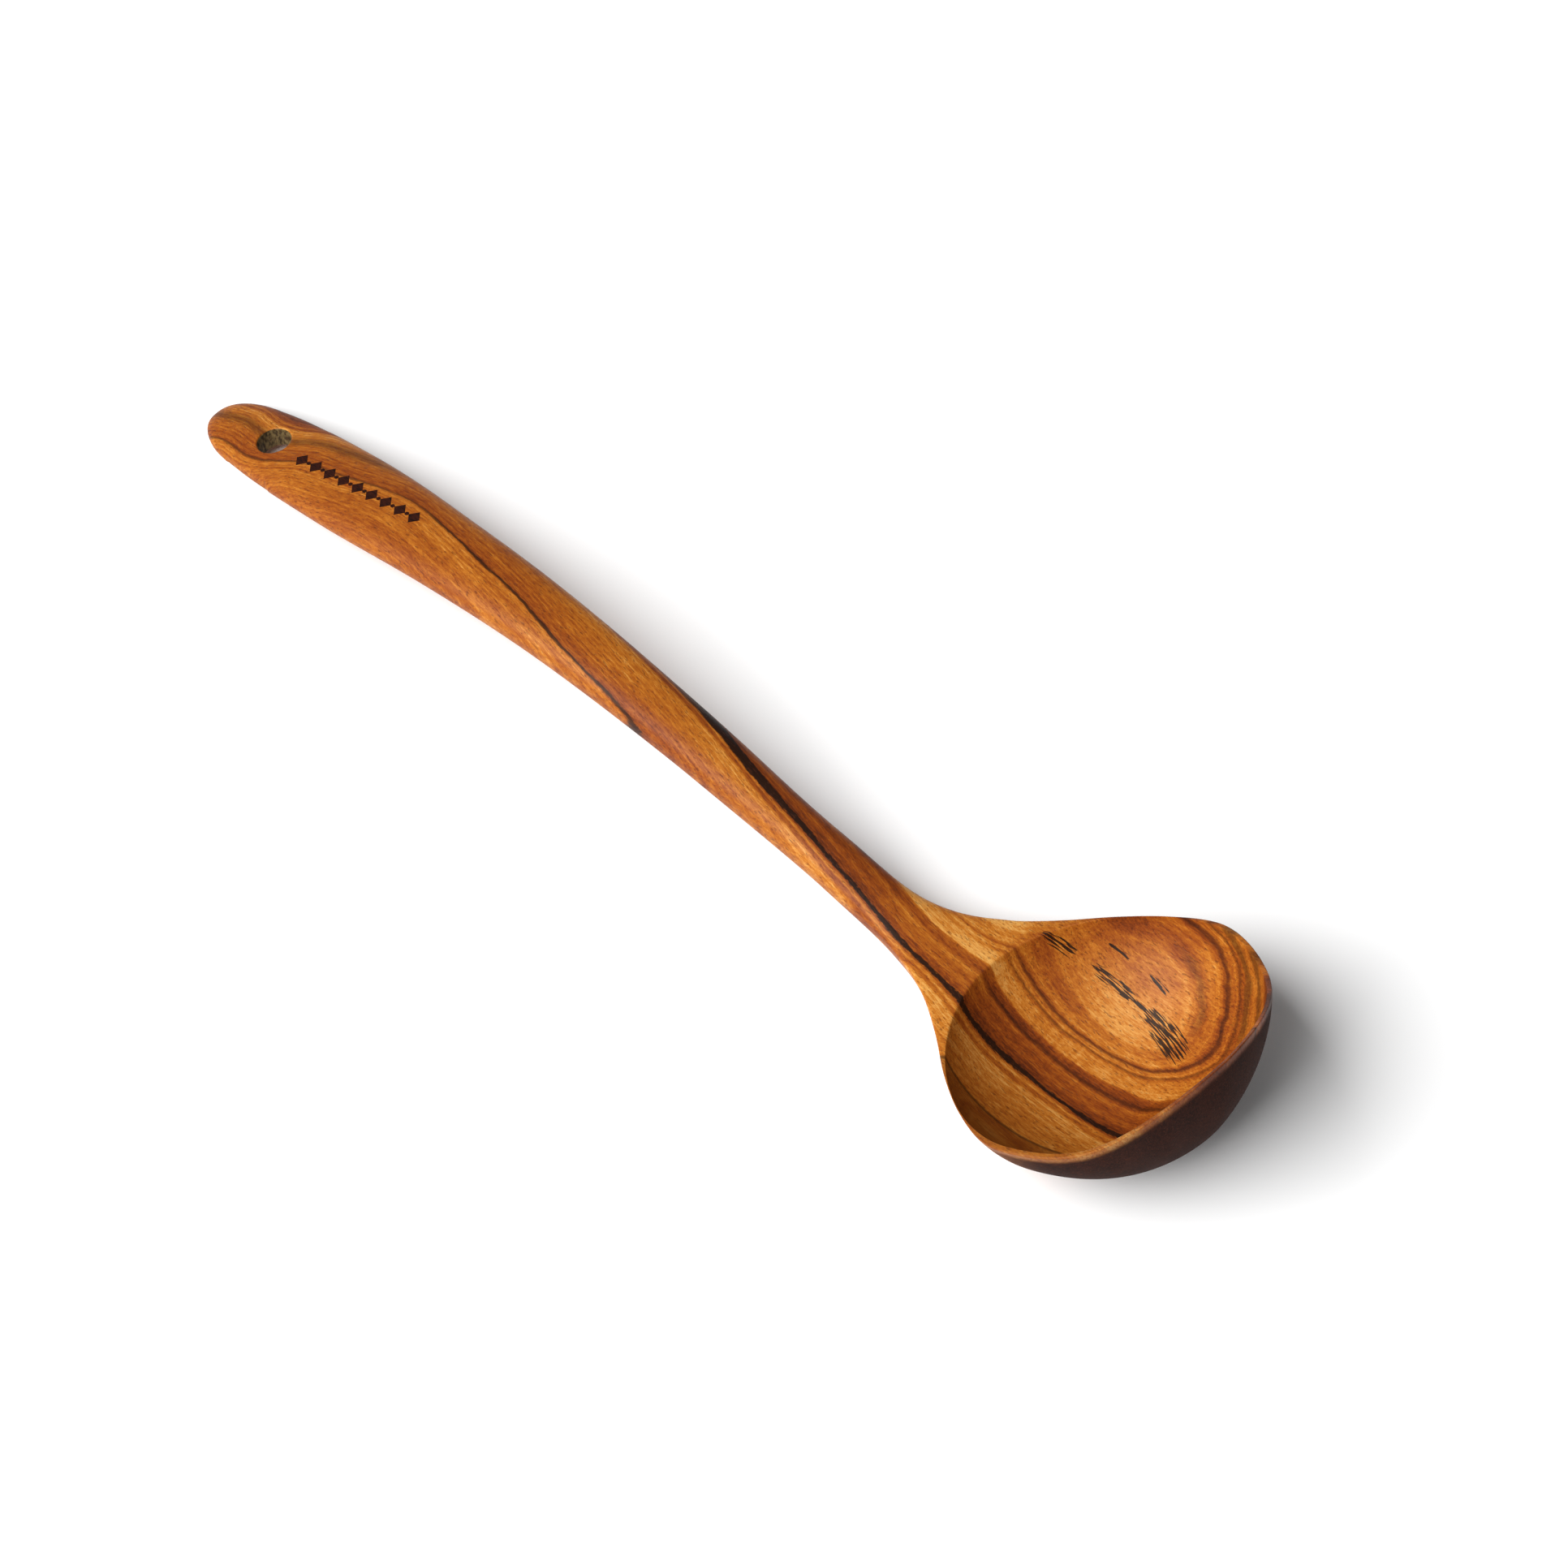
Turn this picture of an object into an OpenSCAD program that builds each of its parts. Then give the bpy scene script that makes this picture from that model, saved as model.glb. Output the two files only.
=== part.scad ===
// Carved wooden serving ladle with a hanging hole.
//
// The ladle is carved from one blank. It is drawn in its own carving frame: x runs from the
// handle's tip to the bowl's lip, y is sideways, z is up and the bowl's rim is level near z = 0.
// The finished shape is then leaned back into the pose it takes by itself on a table, where it
// stands on the underside of the bowl and on the underside of the handle's tip.
//
// The blank is divided at three plain cross-sections into bowl, neck, handle and handle end.
// The four meet face to face over the whole section, and share the same grain.

/* [Overall] */
// Length along the blank, from the handle's tip to the bowl's lip
ladle_len = 335; // [320:1:350]
// Height of the handle's tip above the bowl's rim, square to the rim
handle_rise = 108; // [95:1:115]

/* [Bowl] */
// Outside width of the bowl at its widest
bowl_w = 85; // [82:1:90]
// Reach of the bowl from its widest line forward to the lip
bowl_front = 44; // [42:0.5:46]
// Depth of the bowl's underside below the rim
bowl_depth = 29.5; // [28:0.5:34]
// Thickness of the wall at the rim
rim_t = 1.6; // [1.5:0.1:2.4]
// Thickness of the bowl's floor at its lowest point
floor_t = 4; // [3:0.5:6]
// Reach of the hollow from the widest line back towards the handle
hollow_back = 40.5; // [38:0.5:42]
// Squareness of the bowl's front edge: 2 is a true ellipse, less draws it out to a soft lip
front_square = 1.7; // [1.6:0.05:2.2]
// Lean of the bowl's wall at the rim: 90 is upright, less slopes in towards the floor
wall_lean = 74; // [65:1:85]

/* [Handle] */
// Width of the handle at its widest, near the tip
handle_w = 25; // [22:0.5:27]
// Width of the handle at its narrowest, just before the bowl
neck_w = 13.4; // [12:0.2:15]
// Thickness of the handle near the tip
end_t = 5.5; // [5:0.5:8]
// Thickness of the handle at mid length
mid_t = 10.5; // [9:0.5:12]
// Thickness of the handle at the neck
neck_t = 12.3; // [11:0.1:14]
// Squareness of the handle's section: 2 is an ellipse, more is flatter on top
handle_square = 2.5; // [2:0.1:3]

/* [Hanging hole] */
// Diameter of the hole through the handle's end
hole_d = 9.2; // [7:0.1:10]
// Distance of the hole's centre from the tip
hole_from_tip = 23.5; // [20:0.5:26]

/* [Hidden] */

wood = [0.72, 0.50, 0.33];

// cross-sections where the blank is divided
cut_end = 46;
cut_mid = 198;
cut_bowl = 238;

// widest line of the bowl, and the centre that its rings are drawn round
wide_x = ladle_len - bowl_front;
centre = [wide_x - 1, 0];

// grid steps: points across half a section, points round the bowl, rings
n_half = 8;
n_front = 17;
n_flank = 14;
n_under = 14;
n_top = 3;
n_hollow = 14;

// ---- smooth curve through stations [position, value] ----

function rate(t, i) = (t[i + 1][1] - t[i][1]) / (t[i + 1][0] - t[i][0]);
function bend(t, i) =
    i == 0 ? 1.5 * rate(t, 0) - 0.5 * bend(t, 1) :
    i == len(t) - 1 ? 1.5 * rate(t, i - 1) - 0.5 * bend(t, i - 1) :
    let (a = t[i][0] - t[i - 1][0], b = t[i + 1][0] - t[i][0])
    (rate(t, i - 1) * b + rate(t, i) * a) / (a + b);
function span(t, x, i = 0) = i >= len(t) - 2 || x < t[i + 1][0] ? i : span(t, x, i + 1);
function along(t, x) =
    let (i = span(t, x), h = t[i + 1][0] - t[i][0], u = (x - t[i][0]) / h)
    (2 * u * u * u - 3 * u * u + 1) * t[i][1] + (u * u * u - 2 * u * u + u) * h * bend(t, i)
    + (3 * u * u - 2 * u * u * u) * t[i + 1][1] + (u * u * u - u * u) * h * bend(t, i + 1);

// quarter of a superellipse: 1 at u = 0, falling to 0 at u = 1
function quarter(u, p) = pow(max(1 - pow(min(max(u, 0), 1), p), 0), 1 / p);
// part of a round dish whose wall leans by lean degrees at its edge: 1 at u = 0, 0 at u = 1
function dish(u, lean) =
    (sqrt(1 - pow(min(max(u, 0), 1) * sin(lean), 2)) - cos(lean)) / (1 - cos(lean));
function ease(u) = let (v = min(max(u, 0), 1)) v * v * (3 - 2 * v);

// ---- the ladle's lines ----

// half width in plan: rounded tip, paddle-like handle, slim neck, flare into the bowl
width_stations = [
    [0, 0.3 * handle_w], [14, 0.41 * handle_w], [50, 0.5 * handle_w], [90, 0.436 * handle_w],
    [130, 0.364 * handle_w], [170, 0.563 * neck_w], [205, 0.5 * neck_w], [225, 0.6 * neck_w],
    [240, 0.156 * bowl_w], [252, 0.248 * bowl_w], [264, 0.36 * bowl_w], [276, 0.446 * bowl_w],
    [wide_x, 0.5 * bowl_w], [2 * wide_x - 276, 0.446 * bowl_w]];
function half_w(x) =
    along(width_stations, min(x, wide_x)) * quarter((13 - x) / 13, 2.4)
    * quarter((x - wide_x) / bowl_front, front_square);

// height of the widest edge line: the bowl's rim, then the arched handle
height_stations = [
    [0, 1], [40, 0.921], [80, 0.822], [120, 0.685], [160, 0.483], [200, 0.239], [225, 0.097],
    [245, 0.051], [268, 0.009], [295, -0.01], [315, -0.014], [ladle_len, 0.08]];
function edge_z(x) = handle_rise * along(height_stations, x);

// depth of the underside and height of the top below and above the edge line
thick_stations = [[0, end_t / 2], [110, mid_t / 2], [205, neck_t / 2]];
under_stations = [
    [190, 0.5 * neck_t], [207, 0.51 * neck_t], [230, 0.315 * bowl_depth], [250, 0.593 * bowl_depth],
    [270, 0.87 * bowl_depth], [wide_x, bowl_depth], [2 * wide_x - 270, 0.87 * bowl_depth]];
function tip_cap(x) = quarter((8 - x) / 8, 2.2);
function under(x) =
    (x < 205 ? along(thick_stations, x) : along(under_stations, min(x, wide_x))) * tip_cap(x);
function crown(x) =
    let (k = ease((x - 200) / 50))
    (along(thick_stations, min(x, 205)) * (1 - k) + 0.8 * k) * tip_cap(x);
// section of the underside: the handle's squarish round turns into the bowl's dish
function under_shape(x, u) =
    let (k = ease((x - 215) / 60)) quarter(u, handle_square) * (1 - k) + dish(u, wall_lean) * k;

// 0 on the middle line, 1 on the edge
function reach(p) =
    p[0] > wide_x
    ? pow(pow((p[0] - wide_x) / bowl_front, front_square)
        + pow(abs(p[1]) / (bowl_w / 2), front_square), 1 / front_square)
    : abs(p[1]) / max(half_w(p[0]), 0.001);
function under_z(p) = edge_z(p[0]) - under(p[0]) * under_shape(p[0], reach(p));
function top_z(p) = edge_z(p[0]) + crown(p[0]) * quarter(reach(p), handle_square);

// ---- handle, neck and handle end: sections drawn as rings across the blank ----

// points of a section, from the left edge under to the right edge and back over the top
shares = [for (j = [-n_half : n_half]) sin(90 * j / n_half)];
function section(x) = concat(
    [for (j = [0 : 2 * n_half]) let (p = [x, half_w(x) * shares[j]]) [p[0], p[1], under_z(p)]],
    [for (j = [2 * n_half - 1 : -1 : 1])
        let (p = [x, half_w(x) * shares[j]]) [p[0], p[1], top_z(p)]]);

module loft(xs) {
    m = 4 * n_half;
    k = len(xs);
    polyhedron(
        points = [for (x = xs) each section(x)],
        faces = concat(
            [for (i = [0 : k - 2]) for (j = [0 : m - 1]) let (a = i * m + j, b = i * m + (j + 1) % m)
                each [[a, b + m, b], [a, a + m, b + m]]],
            [[for (j = [0 : m - 1]) j]],
            [[for (j = [m - 1 : -1 : 0]) (k - 1) * m + j]]),
        convexity = 4);
}

// evenly spaced stations, and stations that close up towards the rounded tip
function steps(a, b, n) = [for (i = [0 : n]) a + (b - a) * i / n];
tip_steps = [for (i = [1 : 9]) 20 * (1 - cos(90 * i / 9))];

// ---- bowl: rings round the bowl's centre ----

// outline of the bowl's part of the blank, walked round from the lip
n_cut = 2 * n_half;
n_round = 2 * n_front + 2 * n_flank + n_cut;
function front_at(i) =
    let (f = 90 * i / n_front)
    [wide_x + bowl_front * pow(cos(f), 2 / front_square),
     bowl_w / 2 * pow(sin(f), 2 / front_square)];
function flank_at(i) =
    let (x = wide_x + (cut_bowl - wide_x) * (1 - cos(90 * i / n_flank)) * 0.5
        + (cut_bowl - wide_x) * i / n_flank * 0.5)
    [x, half_w(x)];
half_outline = concat(
    [for (i = [0 : n_front]) i == n_front ? [wide_x, bowl_w / 2] : front_at(i)],
    [for (i = [1 : n_flank]) flank_at(i)],
    [for (j = [1 : n_half]) [cut_bowl, half_w(cut_bowl) * shares[2 * n_half - j]]]);
outline = concat(
    half_outline,
    [for (i = [len(half_outline) - 2 : -1 : 1]) [half_outline[i][0], -half_outline[i][1]]]);

// the hollow's edge, matched to the outline point by point
function turn(i) =
    i <= n_front ? 90 * i / n_front :
    i <= n_front + n_flank ? 90 + 58 * (i - n_front) / n_flank :
    148 + 32 * (i - n_front - n_flank) / n_half;
function edge_at(f) =
    let (c = cos(f), s = sin(f), q = c > 0 ? front_square : 1.9,
        a = c > 0 ? bowl_front - rim_t : hollow_back)
    [wide_x + a * sign(c) * pow(abs(c), 2 / q), (bowl_w / 2 - rim_t) * pow(abs(s), 2 / q)];
half_edge = [for (i = [0 : n_front + n_flank + n_half]) edge_at(turn(i))];
edge = concat(
    half_edge,
    [for (i = [len(half_edge) - 2 : -1 : 1]) [half_edge[i][0], -half_edge[i][1]]]);

// floor of the hollow below its edge
hollow_depth = bowl_depth - floor_t;
function hollow_z(i, r) =
    let (p = centre + r * (edge[i] - centre), e = edge[i])
    (edge_z(p[0]) * (1 - r) + (top_z(e) - 0.4) * r) - hollow_depth * dish(r, wall_lean + 4);

function sink(k, n) = sin(90 * k / n);
bowl_points = concat(
    [[centre[0], 0, under_z(centre)]],
    [for (k = [1 : n_under]) for (i = [0 : n_round - 1])
        let (p = centre + sink(k, n_under) * (outline[i] - centre)) [p[0], p[1],
            k == n_under && i <= n_front + n_flank ? edge_z(p[0]) :
            k == n_under && i >= n_round - n_front - n_flank ? edge_z(p[0]) : under_z(p)]],
    // top of the section where the bowl meets the neck
    [for (j = [1 : n_cut - 1]) let (p = outline[n_front + n_flank + j]) [p[0], p[1], top_z(p)]],
    // rim and shoulder, from the outline in to the hollow's edge
    [for (k = [1 : n_top]) for (i = [0 : n_round - 1])
        let (u = k / (n_top + 0.6), p = outline[i] * (1 - u) + edge[i] * u) [p[0], p[1], top_z(p)]],
    [for (k = [n_hollow : -1 : 1]) for (i = [0 : n_round - 1])
        let (r = sink(k, n_hollow), p = centre + r * (edge[i] - centre))
        [p[0], p[1], hollow_z(i, r)]],
    [[centre[0], 0, edge_z(centre[0]) - hollow_depth]]);

first_cut = 1 + n_under * n_round;
first_top = first_cut + n_cut - 1;
edge_ring = 1 + (n_under - 1) * n_round;
cut_0 = n_front + n_flank;
function upper(i) = i > cut_0 && i < cut_0 + n_cut ? first_cut + i - cut_0 - 1 : edge_ring + i;
function next(i) = (i + 1) % n_round;

bowl_faces = concat(
    // underside, from its lowest point out
    [for (i = [0 : n_round - 1]) [0, 1 + i, 1 + next(i)]],
    [for (k = [0 : n_under - 2]) for (i = [0 : n_round - 1])
        let (a = 1 + k * n_round + i, b = 1 + k * n_round + next(i))
        each [[a, b + n_round, b], [a, a + n_round, b + n_round]]],
    // flat section towards the neck
    [[for (j = [n_cut : -1 : 0]) edge_ring + cut_0 + j,
      for (j = [1 : n_cut - 1]) upper(cut_0 + j)]],
    // rim and shoulder
    [for (i = [0 : n_round - 1])
        let (a = upper(i), b = upper(next(i)), c = first_top + i, d = first_top + next(i))
        each [[a, d, b], [a, c, d]]],
    [for (k = [0 : n_top + n_hollow - 2]) for (i = [0 : n_round - 1])
        let (a = first_top + k * n_round + i, b = first_top + k * n_round + next(i))
        each [[a, b + n_round, b], [a, a + n_round, b + n_round]]],
    // bottom of the hollow
    [for (i = [0 : n_round - 1])
        let (last = first_top + (n_top + n_hollow - 1) * n_round)
        [last + i, last + n_round, last + next(i)]]);

// ---- resting pose: bowl and handle tip touch the table together ----

tip_line = [for (x = tip_steps) [x, under_z([x, 0])]];
bowl_line = [for (x = steps(cut_bowl, ladle_len, 60)) [x, under_z([x, 0])]];
function height(line, t) = min([for (p = line) p[0] * sin(t) + p[1] * cos(t)]);
function level(lo, hi, n) =
    let (m = (lo + hi) / 2, d = height(tip_line, m) - height(bowl_line, m))
    n == 0 ? m : d > 0 ? level(m, hi, n - 1) : level(lo, m, n - 1);
rest_tilt = level(5, 45, 30);
all_points = concat(bowl_points, [for (x = tip_steps) each section(x)]);
rest_x = [for (p = all_points) p[0] * cos(rest_tilt) - p[2] * sin(rest_tilt)];
rest_z = [for (p = all_points) p[0] * sin(rest_tilt) + p[2] * cos(rest_tilt)];
mid_x = (min(rest_x) + max(rest_x)) / 2;
low_z = min(rest_z);

module rest() {
    translate([-mid_x, 0, -low_z]) rotate([0, -rest_tilt, 0]) children();
}

// ---- hanging hole: square to the handle's top ----

hole_slope = atan((edge_z(hole_from_tip + 6) - edge_z(hole_from_tip - 6)) / 12);
module hole() {
    translate([hole_from_tip, 0, edge_z(hole_from_tip)]) rotate([0, -hole_slope, 0])
        cylinder(d = hole_d, h = 40, center = true, $fn = 48);
}

// Hollow bowl with its thin rim and the solid flare behind it
module bowl() {
    color(wood) rest() polyhedron(points = bowl_points, faces = bowl_faces, convexity = 8);
}

// Slim neck that widens into the bowl
module neck() {
    color(wood) rest() loft(steps(cut_mid, cut_bowl, 10));
}

// Arched handle
module handle() {
    color(wood) rest() loft(steps(cut_end, cut_mid, 19));
}

// Rounded end of the handle with the hanging hole
module handle_end() {
    color(wood) rest() difference() {
        loft(concat(tip_steps, steps(24, cut_end, 5)));
        hole();
    }
}

bowl();
neck();
handle();
handle_end();
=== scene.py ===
import math

import bmesh
import bpy
import numpy as np
from mathutils import Matrix, Vector


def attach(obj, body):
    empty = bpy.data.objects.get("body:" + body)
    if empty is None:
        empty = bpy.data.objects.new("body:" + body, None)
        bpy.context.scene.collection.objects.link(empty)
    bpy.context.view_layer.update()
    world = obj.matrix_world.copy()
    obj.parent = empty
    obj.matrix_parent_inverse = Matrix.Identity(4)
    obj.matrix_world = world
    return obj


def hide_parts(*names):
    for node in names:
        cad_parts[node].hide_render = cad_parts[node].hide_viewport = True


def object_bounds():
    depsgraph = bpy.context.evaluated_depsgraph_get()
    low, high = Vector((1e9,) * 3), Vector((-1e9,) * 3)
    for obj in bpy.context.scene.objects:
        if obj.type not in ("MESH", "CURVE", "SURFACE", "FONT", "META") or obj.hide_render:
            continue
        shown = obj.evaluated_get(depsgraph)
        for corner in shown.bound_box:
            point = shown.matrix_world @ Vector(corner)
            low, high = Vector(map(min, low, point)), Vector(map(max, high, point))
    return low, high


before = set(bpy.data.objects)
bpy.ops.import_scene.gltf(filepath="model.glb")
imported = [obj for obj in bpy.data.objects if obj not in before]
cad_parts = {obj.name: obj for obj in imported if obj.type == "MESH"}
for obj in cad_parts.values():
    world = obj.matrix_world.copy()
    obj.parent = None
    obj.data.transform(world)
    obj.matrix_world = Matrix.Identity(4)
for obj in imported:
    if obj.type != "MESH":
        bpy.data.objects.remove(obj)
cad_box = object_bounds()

# ---------------------------------------------------------------------------
# The ladle: bowl, neck and handle are one blank of teak, bandsawn to its
# outline, carved round and hollow, drilled through the handle's end for
# hanging, then sanded smooth and oiled. Nothing is joined or glued.
# ---------------------------------------------------------------------------

# its lines are drawn on the bench, in millimetres: x from the handle's tip to the lip,
# y sideways, z up from the back of the rim; the finished blank is then leaned back to rest

LADLE_LEN = 335.0
HANDLE_RISE = 108.0
BOWL_W, BOWL_FRONT, BOWL_DEPTH = 85.0, 44.0, 29.5
RIM_T, FLOOR_T = 1.6, 4.0
HOLLOW_BACK = 40.5
FRONT_SQUARE, BACK_SQUARE, WALL_LEAN = 1.7, 1.9, 74.0
HANDLE_W, NECK_W = 25.0, 13.4
END_T, MID_T, NECK_T = 5.5, 10.5, 12.3
HANDLE_SQUARE = 2.5
HOLE_D, HOLE_FROM_TIP = 9.2, 23.5
WIDE_X = LADLE_LEN - BOWL_FRONT
BOWL_MID = WIDE_X - 1
FLARE_X = 238.0          # the bowl's rings take over from the handle's sections here

# stations along the blank: half width, height of the edge, depth under the edge
WIDTHS = [
    (0, 0.3 * HANDLE_W), (14, 0.41 * HANDLE_W), (50, 0.5 * HANDLE_W), (90, 0.436 * HANDLE_W),
    (130, 0.364 * HANDLE_W), (170, 0.563 * NECK_W), (205, 0.5 * NECK_W), (225, 0.6 * NECK_W),
    (240, 0.156 * BOWL_W), (252, 0.248 * BOWL_W), (264, 0.36 * BOWL_W), (276, 0.446 * BOWL_W),
    (WIDE_X, 0.5 * BOWL_W), (2 * WIDE_X - 276, 0.446 * BOWL_W)]
HEIGHTS = [
    (0, 1), (40, 0.921), (80, 0.822), (120, 0.685), (160, 0.483), (200, 0.239), (225, 0.097),
    (245, 0.051), (268, 0.009), (295, -0.01), (315, -0.014), (LADLE_LEN, 0.08)]
HALF_THICKNESS = [(0, END_T / 2), (110, MID_T / 2), (205, NECK_T / 2)]
UNDER_DEPTHS = [
    (190, 0.5 * NECK_T), (207, 0.51 * NECK_T), (230, 0.315 * BOWL_DEPTH), (250, 0.593 * BOWL_DEPTH),
    (270, 0.87 * BOWL_DEPTH), (WIDE_X, BOWL_DEPTH), (2 * WIDE_X - 270, 0.87 * BOWL_DEPTH)]


def along(stations, x):
    """smooth curve through stations (position, value)"""
    kx, ky = np.array(stations, float).T
    step = np.diff(kx)
    rate = np.diff(ky) / step
    bend = np.empty_like(ky)
    bend[1:-1] = (rate[:-1] * step[1:] + rate[1:] * step[:-1]) / (step[:-1] + step[1:])
    bend[0] = 1.5 * rate[0] - 0.5 * bend[1]
    bend[-1] = 1.5 * rate[-1] - 0.5 * bend[-2]
    x = np.asarray(x, float)
    i = np.clip(np.searchsorted(kx, x, side="right") - 1, 0, len(kx) - 2)
    u = (x - kx[i]) / step[i]
    return ((2 * u**3 - 3 * u**2 + 1) * ky[i] + (u**3 - 2 * u**2 + u) * step[i] * bend[i]
            + (3 * u**2 - 2 * u**3) * ky[i + 1] + (u**3 - u**2) * step[i] * bend[i + 1])


def quarter(u, p):
    """quarter of a superellipse: 1 at u = 0, 0 at u = 1"""
    return np.maximum(1 - np.clip(u, 0, 1) ** p, 0) ** (1 / p)


def dish(u, lean):
    """round dish whose wall leans by lean degrees at its edge: 1 at u = 0, 0 at u = 1"""
    s, c = math.sin(math.radians(lean)), math.cos(math.radians(lean))
    return (np.sqrt(1 - (np.clip(u, 0, 1) * s) ** 2) - c) / (1 - c)


def ease(u):
    v = np.clip(u, 0, 1)
    return v * v * (3 - 2 * v)


def half_w(x):
    return (along(WIDTHS, np.minimum(x, WIDE_X)) * quarter((13 - x) / 13, 2.4)
            * quarter((x - WIDE_X) / BOWL_FRONT, FRONT_SQUARE))


def edge_z(x):
    return HANDLE_RISE * along(HEIGHTS, x)


def tip_cap(x):
    return quarter((8 - x) / 8, 2.2)


def under(x):
    back = along(UNDER_DEPTHS, np.minimum(x, WIDE_X))
    return np.where(x < 205, along(HALF_THICKNESS, np.minimum(x, 205)), back) * tip_cap(x)


def crown(x):
    k = ease((x - 200) / 50)
    return (along(HALF_THICKNESS, np.minimum(x, 205)) * (1 - k) + 0.8 * k) * tip_cap(x)


def reach(x, y):
    """0 on the middle line, 1 on the edge"""
    front = (np.maximum((x - WIDE_X) / BOWL_FRONT, 0) ** FRONT_SQUARE
             + (np.abs(y) / (BOWL_W / 2)) ** FRONT_SQUARE) ** (1 / FRONT_SQUARE)
    return np.where(x > WIDE_X, front, np.abs(y) / np.maximum(half_w(x), 0.001))


def under_z(x, y):
    k = ease((x - 215) / 60)
    u = reach(x, y)
    shape = quarter(u, HANDLE_SQUARE) * (1 - k) + dish(u, WALL_LEAN) * k
    return edge_z(x) - under(x) * shape


def top_z(x, y):
    return edge_z(x) + crown(x) * quarter(reach(x, y), HANDLE_SQUARE)


def hollow_edge(turn):
    """the hollow's edge in plan; turn is 0 at the lip and pi towards the handle"""
    c, s = np.cos(turn), np.sin(turn)
    square = np.where(c > 0, FRONT_SQUARE, BACK_SQUARE)
    length = np.where(c > 0, BOWL_FRONT - RIM_T, HOLLOW_BACK)
    x = WIDE_X + length * np.sign(c) * np.abs(c) ** (2 / square)
    return x, (BOWL_W / 2 - RIM_T) * np.sign(s) * np.abs(s) ** (2 / square)


# the blank leans back until the bowl's underside and the handle's tip are level
def resting_lean():
    tip_x = 20 * (1 - np.cos(np.radians(np.arange(10, 91, 10))))
    bowl_x = np.linspace(FLARE_X, LADLE_LEN, 61)
    tip = tip_x, under_z(tip_x, 0 * tip_x)
    bowl = bowl_x, under_z(bowl_x, 0 * bowl_x)

    def lowest(line, lean):
        return (line[0] * math.sin(lean) + line[1] * math.cos(lean)).min()

    low, high = math.radians(5), math.radians(45)
    for _ in range(40):
        lean = (low + high) / 2
        if lowest(tip, lean) > lowest(bowl, lean):
            low = lean
        else:
            high = lean
    return lean


LEAN = resting_lean()


def lean_back(points):
    c, s = math.cos(LEAN), math.sin(LEAN)
    x, y, z = points[..., 0], points[..., 1], points[..., 2]
    return np.stack([x * c - z * s, y, x * s + z * c], -1)


HALF_RING = 28           # points across half a section, spaced closer at the edges
SHARES = np.sin(np.linspace(-math.pi / 2, math.pi / 2, 2 * HALF_RING + 1))
RING = 4 * HALF_RING


def section(x):
    """ring of points round the blank at x: left edge, underside, right edge, top"""
    y = half_w(np.array(x)) * SHARES
    xs = np.full_like(y, x)
    low = np.stack([xs, y, under_z(xs, y)], -1)
    top = np.stack([xs, y, top_z(xs, y)], -1)
    return np.concatenate([low, top[-2:0:-1]])


points, quads = [], []


def add_rings(rings, closed=True):
    """joins rings of points, each with the same count, by quads in order"""
    base = sum(len(p) for p in points)
    count = len(rings[0])
    points.extend(rings)
    for k in range(len(rings) - 1):
        for i in range(count if closed else count - 1):
            a, b = base + k * count + i, base + k * count + (i + 1) % count
            quads.append((a, a + count, b + count, b))


# handle end up to the hole's patch, then the handle and neck up to the flare
PATCH_HALF = 9.0
patch_a, patch_b = HOLE_FROM_TIP - PATCH_HALF, HOLE_FROM_TIP + PATCH_HALF
tip_stations = patch_a * (1 - np.cos(np.linspace(0.0, 1.0, 22) * math.pi / 2))
tip_stations[0] = 1e-4
add_rings([section(x) for x in tip_stations])
tip_middle = np.array([[0.0, 0.0, float(edge_z(0.0))]])
MARK_FROM, MARK_TO = 36.0, 76.0      # sections lie closer under the burned mark
handle_stations = np.concatenate([
    np.linspace(patch_b, MARK_FROM, 6)[:-1], np.linspace(MARK_FROM, MARK_TO, 161)[:-1],
    np.linspace(MARK_TO, FLARE_X, 150)])
add_rings([section(x) for x in handle_stations])

# hanging hole: drilled square to the handle's top, its two edges eased with sandpaper
hole_slope = math.atan((edge_z(HOLE_FROM_TIP + 6) - edge_z(HOLE_FROM_TIP - 6)) / 12)
drill_x = np.array([math.cos(hole_slope), 0, math.sin(hole_slope)])
drill_z = np.array([-math.sin(hole_slope), 0, math.cos(hole_slope)])
hole_mid = np.array([HOLE_FROM_TIP, 0, float(edge_z(HOLE_FROM_TIP))])
EASE_R = 0.55


def patch_loop():
    """outline of the patch round the hole, walked from the right-hand far corner"""
    edge_x = np.linspace(patch_a, patch_b, 25)
    right = np.stack([edge_x, half_w(edge_x)], -1)
    near = np.stack([np.full(len(SHARES), patch_b), half_w(patch_b) * SHARES[::-1]], -1)
    left = np.stack([edge_x[::-1], -half_w(edge_x[::-1])], -1)
    far = np.stack([np.full(len(SHARES), patch_a), half_w(patch_a) * SHARES], -1)
    return np.concatenate([right[:-1], near[:-1], left[:-1], far[:-1]])


def hole_ring(turn, radius, surface, sink):
    """circle of the drill on a surface, pushed sink millimetres into the wood"""
    ring = hole_mid + radius * (np.cos(turn)[:, None] * drill_x
                                + np.sin(turn)[:, None] * np.array([0, 1.0, 0]))
    for _ in range(12):
        gap = surface(ring[:, 0], ring[:, 1]) - ring[:, 2]
        ring = ring + gap[:, None] / drill_z[2] * drill_z
    return ring + sink * drill_z


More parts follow.
